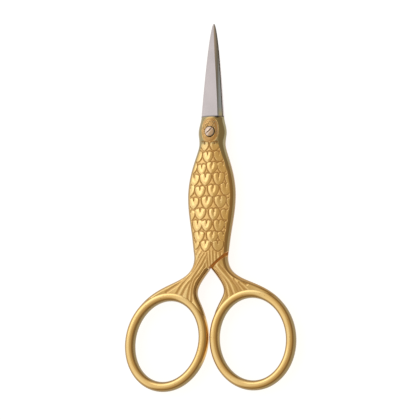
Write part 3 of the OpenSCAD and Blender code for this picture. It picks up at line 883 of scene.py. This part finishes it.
# The flank, soot and slot colours are painted shade: on steep faces, in the corner at the blade's shoulder step and in
# the screw's slot
steel = {"bright": (0.66, 0.59, 0.585, 1.0), "dull": (0.52, 0.475, 0.47, 1.0), "flankShade": (0.19, 0.205, 0.195, 1.0),
         "shoulderShade": (0.10, 0.08, 0.07, 1.0), "slot": (0.55, 0.30, 0.12, 1.0), "screw": (0.92, 0.70, 0.54, 1.0),
         "steep": {"Low": 0.6, "High": 0.94}, "cover": {"cloud": 0.35, "lines": 0.12, "steep": 0.9},
         "roughness": 0.2, "lineRoughness": 0.06, "grind": (0.25, 6.0, 1.0), "lineScale": 1500.0,
         "pitScale": 1100.0, "pitShare": 0.02, "bump": 0.07, "bumpDepth": 0.00003}


def steelMaterial(name, tint, stretch, deep, plating=False):
    s, cover = steel, steel["cover"]
    material, w, shader, place = newMaterial(name)
    fine = useGroup(w, brushing, {"Vector": place, "Stretch": stretch, "Scale": s["lineScale"]})
    pits = useGroup(w, pitting, {"Vector": place, "Scale": s["pitScale"], "Share": s["pitShare"]})["Pits"]
    # steep faces and the hollow mark get painted shade
    layers = [(w.step(fine["Cloud"], 0.3, 0.7), cover["cloud"], s["dull"]),
              (w.step(fine["Lines"], 0.45, 0.75), cover["lines"], s["dull"]),
              (useGroup(w, flanking, s["steep"])["Steep"], cover["steep"], s["flankShade"])]
    if plating:
        layers.append((w.mark("plated"), 1.0, gold["worn"]))
    layers.append((w.mark("hollow"), 1.0, deep))
    w.plug(shader.inputs["Base Color"], layColours(w, tint, layers))
    shader.inputs["Metallic"].default_value = 1.0
    w.plug(shader.inputs["Roughness"], w.plus(s["roughness"], w.times(fine["Lines"], s["lineRoughness"])))
    height = w.minus(w.times(fine["Lines"], 0.5), pits)
    bump = w.add("ShaderNodeBump", {"Strength": s["bump"], "Distance": s["bumpDepth"], "Height": height})
    w.plug(shader.inputs["Normal"], bump.outputs[0])
    return material


goldPlate = goldMaterial()
bladeSteel = steelMaterial("groundSteel", steel["bright"], steel["grind"], steel["shoulderShade"], plating=True)
screwSteel = steelMaterial("screwSteel", steel["screw"], (1.0, 1.0, 1.0), steel["slot"])
print("metals made")

# Blades
blade = {"tip": 26.8, "width": 2.95, "ridge": 1.45, "ridgeShare": 0.6, "spineShare": 0.86, "taper": 0.6,
         "land": 0.06, "drift": 0.7, "thin": 0.7, "wall": 0.25, "hollow": 0.05, "bulge": 0.03, "backHollow": 0.08,
         "step": 0.5, "stepRise": 0.42, "riseLoss": 0.6, "plateTill": 6.5,
         "tipTill": 0.994, "gather": 1.35, "rows": 150, "facePoints": 12, "flankPoints": 6}


def bladePiece(name):
    b = blade
    u = np.linspace(0, 1, b["rows"])
    points, plated, hollow = [], [], []
    for at in b["tipTill"] * (1 - (1 - u) ** b["gather"]):
        y = mix(half["shoulder"], b["tip"], at)
        w = b["width"] * (1 - at) ** b["taper"]
        ridgeX = w * b["ridgeShare"] * (1 - b["drift"] * at * at)
        ridgeZ = b["ridge"] * (w / b["width"]) ** b["thin"]
        low = half["lap"] + b["land"]
        spineX, spineZ = w * b["spineShare"], half["lap"] + min(b["wall"], ridgeZ / 2)
        rise = b["stepRise"] * (1 - smooth(0.0, b["step"], y - half["shoulder"]))
        row = [(-w, half["lap"]), (-w, low)]
        for k in np.linspace(0, 1, b["facePoints"] + 1)[1:]:
            z = mix(low, ridgeZ, k) - b["hollow"] * math.sin(math.pi * k) * (w / b["width"])
            row.append((mix(-w, ridgeX, k), z + rise * min(1, k * 3) * (1 - b["riseLoss"] * k)))
        ridgeEnd = len(row)
        for k in np.linspace(0, 1, b["flankPoints"] + 1)[1:]:
            bulge = b["bulge"] * math.sin(math.pi * k)
            x, z = mix(ridgeX, spineX, k), mix(ridgeZ + rise * (1 - b["riseLoss"]), spineZ, k)
            row.append((x + bulge, z + bulge))
        row.append((spineX, half["lap"]))
        for k in (0.75, 0.5, 0.25):
            sunk = min(b["backHollow"], ridgeZ / 8) * math.sin(math.pi * k) * min(1, w)
            row.append((mix(-w, spineX, k), half["lap"] + sunk))
        points += [(x, y, z) for x, z in row]
        plate = 1 - smooth(half["shoulder"], b["plateTill"], y)
        plated += [float(k > ridgeEnd) * plate for k in range(len(row))]
        # painted shade in the corner at the shoulder step
        hollow += [float(smooth(0.1, 0.4, rise))] * len(row)
    piece = addPiece(name, points, tubeFaces(b["rows"], len(row)))
    markPoints(piece, "plated", plated)
    markPoints(piece, "hollow", hollow)
    piece.data.materials.append(bladeSteel)
    outward(piece)
    softShade(piece, 24)
    return piece


# Helpers that the trees read. They are taken out again once the halves stand
tips = [tip for row in feathers["rows"] for tip in row]
tipSpots = spotObject("featherTips", [(x, y, 0.0) for x, y, wide in tips], [wide for x, y, wide in tips])
broad = featherObject("broadFeather", broadFeather)
slim = featherObject("slimFeather", slimFeather)
ovalAngles = np.linspace(0, 2 * math.pi, 49)
ovalLine = [(boss["centre"][0] + boss["wide"] * math.copysign(abs(math.cos(a)) ** boss["ovalPower"], math.cos(a)),
             boss["centre"][1] + boss["long"] * math.sin(a)) for a in ovalAngles]
outsideLines = lineObject("outsideLines", flutes["outside"] + [ovalLine])
insideLines = lineObject("insideLines", flutes["inside"])
noTips = spotObject("noTips", [(0.0, 30.0, 0.0)], [0.1])  # far off the shanks
relief = reliefTree()
rim = rimTree()
beading = beadTree()
print("relief trees made")


def pressRelief(shell, lines, tipsObject, up, depth, width):
    f = feathers
    grow(shell, relief, {
        "Tips": tipsObject, "Broad": broad, "Slim": slim, "Lines": lines, "Tall": f["tall"], "Uneven": f["uneven"],
        "Turn": f["turn"], "Wander": f["wander"] * mm, "Net depth": f["netDepth"], "Cut depth": f["cutDepth"],
        "Cut width": f["cutWidth"], "Dome": f["dome"], "Dome width": f["domeWidth"], "Flute depth": depth,
        "Flute width": width, "Up": up, "Seed": f["seed"], "Metal": goldPlate})


def bowPiece(name, bow):
    piece = addPiece(name, [(0, 0, 0)], [])
    grow(piece, rim, {"Centre X": bow["x"] * mm, "Centre Y": -half["bowY"] * mm, "Long": bow["long"] * mm,
                      "Wide": bow["wide"] * mm, "Lean": bow["lean"], "Rim width": half["rimWidth"] * mm,
                      "Rim height": 2 * half["rimThick"] * mm, "Crest": half["crest"], "Fullness": half["fullness"],
                      "Metal": goldPlate})
    outward(piece)
    return piece


def handlePieces(side, bow, rear):
    body = upperShell(side + "Body", bow)
    pressRelief(body, outsideLines, tipSpots, 1.0, flutes["depth"], flutes["width"])
    radius = (seatRear if rear else seatFront)["bore"]
    cutAway(body, lathe("bore", [(radius, -1.0), (radius, 4.0)], 64))
    setInPlace(body, rear)
    softShade(body)
    shank = underShell(side + "Shank", bow)
    pressRelief(shank, insideLines, noTips, -1.0, flutes["insideDepth"], flutes["insideWidth"])
    handle = joined(side + "Bow", [bowPiece(side + "Rim", bow), shank])
    setInPlace(handle, rear)
    softShade(handle)
    print(side, "half made:", len(body.data.polygons), "and", len(handle.data.polygons), "faces")
    return body, handle


def beadPiece(name, rear):
    b, spots = boss, []
    for ring in b["beadRings"]:
        count = int(2 * math.pi * ring / b["beadStep"])
        for k in range(count):
            a = 2 * math.pi * k / count
            x, y = ring * math.cos(a), ring * math.sin(a) * b["ringTall"]
            inside = math.hypot((x - b["centre"][0]) / b["wide"], (y - b["centre"][1]) / b["long"])
            if math.sin(a) > b["beadsFrom"] and inside < b["beadsWithin"]:
                spots.append((x, y, half["crown"] - b["sunk"]))
    piece = addPiece(name, spots, [])
    grow(piece, beading, {"Bead size": b["beadSize"], "Uneven": b["uneven"], "Seed": b["seed"], "Metal": goldPlate})
    setInPlace(piece, rear)
    return piece


# The screw: radius and height along its outline, from the filed end to the head's edge, and then the dome
pin = {"outline": [(0.76, -2.05), (0.8, -2.01), (0.8, 1.53), (1.14, 1.53), (1.2, 1.59), (1.2, 2.2), (1.19, 2.25),
                   (1.15, 2.3)],
       "domeRings": (1.08, 0.95, 0.8, 0.6, 0.4, 0.2, 0.04), "head": 1.2, "dome": 0.4, "top": 2.68,
       "slotHalf": 0.25, "slotDeep": 0.45, "slotTurn": 42, "edge": 0.04}


def screwPiece():
    s = pin
    radius = (s["head"] ** 2 + s["dome"] ** 2) / (2 * s["dome"])
    dome = [(r, s["top"] - radius + math.sqrt(radius ** 2 - r ** 2)) for r in s["domeRings"]]
    piece = lathe("pivotScrew", s["outline"] + dome)
    slotFloor = s["top"] - s["slotDeep"]
    slot = addPiece("slot", *boxMesh((-2.0, -s["slotHalf"], slotFloor), (2.0, s["slotHalf"], 4.0)))
    slot.data.transform(Matrix.Rotation(math.radians(s["slotTurn"]), 4, "Z"))
    cutAway(piece, slot)
    edge = piece.modifiers.new("Edge", "BEVEL")
    edge.width, edge.segments, edge.limit_method, edge.angle_limit = s["edge"] * mm, 2, "ANGLE", math.radians(40)
    makePlain(piece)
    piece.data.materials.clear()
    piece.data.materials.append(screwSteel)
    places = np.array([v.co for v in piece.data.vertices]) / mm
    # the slot's floor is marked for painted shade
    inSlot = (np.abs(places[:, 2] - slotFloor) < 0.06) & (np.hypot(places[:, 0], places[:, 1]) < s["head"] - 0.01)
    markPoints(piece, "hollow", inSlot.astype(float))
    setInPlace(piece, False)
    softShade(piece, 35)
    return piece


def boxMesh(low, high):
    points = [(x, y, z) for x in (low[0], high[0]) for y in (low[1], high[1]) for z in (low[2], high[2])]
    faces = [[0, 1, 3, 2], [4, 6, 7, 5], [0, 4, 5, 1], [2, 3, 7, 6], [0, 2, 6, 4], [1, 5, 7, 3]]
    return points, faces


for side, bow, rear in (("front", frontBow, False), ("rear", rearBow, True)):
    body, handle = handlePieces(side, bow, rear)
    steelEnd = bladePiece(side + "Blade")
    setInPlace(steelEnd, rear)
    rides = side + "_half"
    for piece in (body, handle, steelEnd):
        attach(piece, rides)
    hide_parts(side + "_handle")
    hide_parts(side + "_handle")
    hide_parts(side + "_blade")
    if not rear:
        beads = beadPiece("bossBeads", rear)
        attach(beads, rides)
screw = screwPiece()
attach(screw, "rear_half")
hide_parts("pivot_screw")
for helper in (tipSpots, broad, slim, outsideLines, insideLines, noTips):
    bpy.data.objects.remove(helper)
print("scissors made")

# Floor, light and camera
studio = {
    "toCamera": (0.365, -0.1105, 0.9244), "distance": 4.2, "pixelsPerMm": 4.094, "image": 420,
    "pivotAt": (212.675, 132.3), "roll": 0.0115, "film": 36.0, "clip": (0.05, 20.0),
    "keyAt": (-0.35, 0.2, 0.55), "keyAim": (0, -0.02, 0), "keySize": 0.35, "keyPower": 0.16,
    "tentBright": (0.91, 0.91, 0.91, 1.0), "tentDark": (0.52, 0.43, 0.30, 1.0), "tentTurn": (0.2, 0.45),
    "tentLean": (-0.9, 0.35), "horizon": (0.05, 0.12), "floor": 1500.0, "paper": 0.35, "paperGlow": 0.87,
}


def makeFloor():
    size = studio["floor"]
    floor = addPiece("floor", [(-size, -size, 0), (size, -size, 0), (size, size, 0), (-size, size, 0)], [[0, 1, 2, 3]])
    material = bpy.data.materials.new("palePaper")
    material.use_nodes = True
    w = Wiring(material.node_tree)
    material.node_tree.nodes.clear()
    paper = w.add("ShaderNodeBsdfDiffuse", {"Color": (studio["paper"],) * 3 + (1.0,)})
    glow = w.add("ShaderNodeEmission", {"Color": (1, 1, 1, 1), "Strength": studio["paperGlow"]})
    path = w.add("ShaderNodeLightPath").outputs
    seen = w.calc("MAXIMUM", w.calc("MAXIMUM", path["Is Camera Ray"], path["Is Glossy Ray"]),
                  path["Is Transmission Ray"])
    none = w.add("ShaderNodeEmission", {"Strength": 0.0})
    glow = w.add("ShaderNodeMixShader", {0: seen, 1: none.outputs[0], 2: glow.outputs[0]})
    both = w.add("ShaderNodeAddShader", {0: paper.outputs[0], 1: glow.outputs[0]})
    w.plug(w.add("ShaderNodeOutputMaterial").inputs["Surface"], both.outputs[0])
    floor.data.materials.append(material)


def makeWorld():
    world = bpy.data.worlds.new("paleTent")
    bpy.context.scene.world = world
    world.use_nodes = True
    w = Wiring(world.node_tree)
    world.node_tree.nodes.clear()
    x, y, z = w.split(w.add("ShaderNodeTexCoord").outputs["Generated"])
    # bright at the left and behind, dark at the right, and white along the horizon
    lean = w.plus(w.times(x, studio["tentLean"][0]), w.times(y, studio["tentLean"][1]))
    tent = blendColour(w, w.step(lean, *studio["tentTurn"]), studio["tentDark"], studio["tentBright"])
    tent = blendColour(w, w.step(z, *studio["horizon"]), (1, 1, 1, 1), tent)
    tentLight = w.add("ShaderNodeBackground", {"Color": tent, "Strength": 1.0})
    w.plug(w.add("ShaderNodeOutputWorld").inputs["Surface"], tentLight.outputs[0])


def makeLamp():
    s = studio
    light = bpy.data.lights.new("keyLamp", "AREA")
    light.shape, light.size, light.energy = "DISK", s["keySize"], s["keyPower"]
    lamp = newObject("keyLamp", light)
    lamp.location = s["keyAt"]
    lamp.rotation_mode = "QUATERNION"
    lamp.rotation_quaternion = (Vector(s["keyAim"]) - Vector(s["keyAt"])).to_track_quat("-Z", "Y")


def makeCamera():
    s = studio
    back = Vector(s["toCamera"]).normalized()
    up = (Vector((0, 1, 0)) - back * back.y).normalized()
    side = up.cross(back)
    turn = Matrix.Rotation(s["roll"], 3, back)
    # rolling the picture one way rolls the camera the other way
    upRolled, sideRolled = turn @ up, turn @ side
    middle = s["image"] / 2
    across = (middle - s["pivotAt"][0]) / s["pixelsPerMm"]
    down = (middle - s["pivotAt"][1]) / s["pixelsPerMm"]
    pivot = Vector((0, 0, half["thick"] * mm))
    target = pivot + (sideRolled * across - upRolled * down) * mm
    cameraData = bpy.data.cameras.new("camera")
    cameraData.sensor_width = s["film"]
    cameraData.lens = s["film"] * s["distance"] / (s["image"] / s["pixelsPerMm"] * mm)
    cameraData.clip_start, cameraData.clip_end = s["clip"]
    camera = newObject("camera", cameraData)
    camera.matrix_world = Matrix.Translation(target + back * s["distance"]) @ Matrix(
        (sideRolled, upRolled, back)).transposed().to_4x4()
    bpy.context.scene.camera = camera


makeFloor()
makeWorld()
makeLamp()
makeCamera()
bpy.context.scene.view_settings.view_transform = "Standard"
print("studio made")
